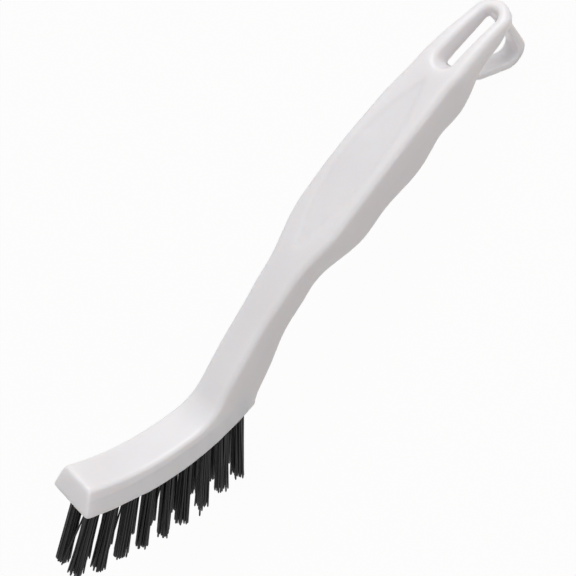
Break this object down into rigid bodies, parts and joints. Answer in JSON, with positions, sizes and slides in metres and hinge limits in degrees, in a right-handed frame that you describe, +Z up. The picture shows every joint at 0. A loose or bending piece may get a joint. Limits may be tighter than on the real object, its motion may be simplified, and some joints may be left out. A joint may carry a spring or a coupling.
{
  "type": "crevice brush",
  "caption": "Hand brush for crevices: a slim moulded handle with a hanging slot and loop, and a curved narrow head set with rows of stiff black tufts.",
  "frame": {"origin": "middle of the overall box, on the surface that the brush stands on", "axes": "+X along the brush towards the hanging end, +Y across it, +Z up"},
  "size_m": [0.2294, 0.0214, 0.0741],
  "materials": {
    "handle_plastic": "satin off-white injection-moulded polypropylene",
    "tuft_nylon": "stiff black nylon filament, dull with faint lengthwise streaks",
    "staple_wire": "flat plated anchor wire"
  },
  "bodies": {
    "root": {"handle": "handle_plastic", "staples": "staple_wire", "tuft_left_1": "tuft_nylon", "tuft_left_2": "tuft_nylon", "tuft_left_3": "tuft_nylon", "tuft_left_4": "tuft_nylon", "tuft_left_5": "tuft_nylon", "tuft_left_6": "tuft_nylon", "tuft_left_7": "tuft_nylon", "tuft_left_8": "tuft_nylon", "tuft_left_9": "tuft_nylon", "tuft_right_1": "tuft_nylon", "tuft_right_2": "tuft_nylon", "tuft_right_3": "tuft_nylon", "tuft_right_4": "tuft_nylon", "tuft_right_5": "tuft_nylon", "tuft_right_6": "tuft_nylon", "tuft_right_7": "tuft_nylon", "tuft_right_8": "tuft_nylon", "tuft_right_9": "tuft_nylon"}
  },
  "joints": []
}
